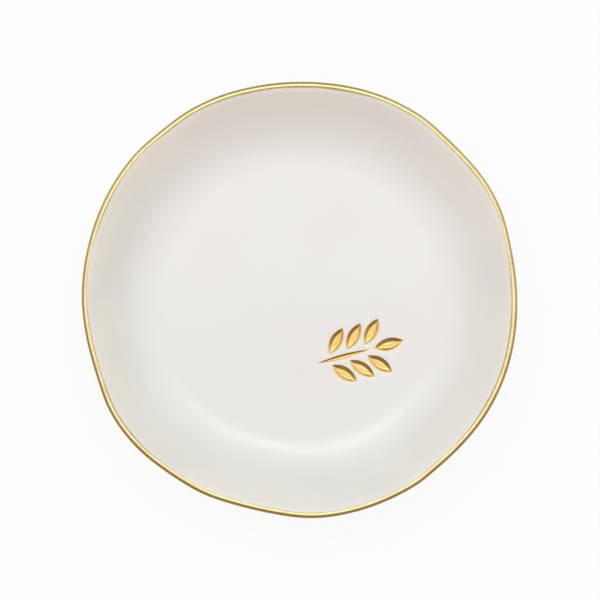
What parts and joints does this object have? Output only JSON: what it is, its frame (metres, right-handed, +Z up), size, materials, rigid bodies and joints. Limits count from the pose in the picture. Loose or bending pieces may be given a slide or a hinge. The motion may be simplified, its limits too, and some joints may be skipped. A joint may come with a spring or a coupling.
{
  "type": "ring dish",
  "caption": "Small round ceramic ring dish with a flared wall, an uneven hand-formed lip edged in gold, a low foot ring and a gold leaf sprig pressed into the floor.",
  "frame": {"origin": "middle of the foot ring, on the surface the dish stands on", "axes": "+Z up out of the dish, +Y to the top of the picture and +X to its right"},
  "size_m": [0.1078, 0.108, 0.0181],
  "materials": {
    "glaze": "satin",
    "gold": "polished"
  },
  "bodies": {
    "root": {"dish_body": "glaze", "gold_rim": "gold", "gold_stem": "gold", "gold_leaf_tip": "gold", "gold_leaf_left_1": "gold", "gold_leaf_right_1": "gold", "gold_leaf_left_2": "gold", "gold_leaf_right_2": "gold", "gold_leaf_left_3": "gold", "gold_leaf_right_3": "gold"}
  },
  "joints": []
}
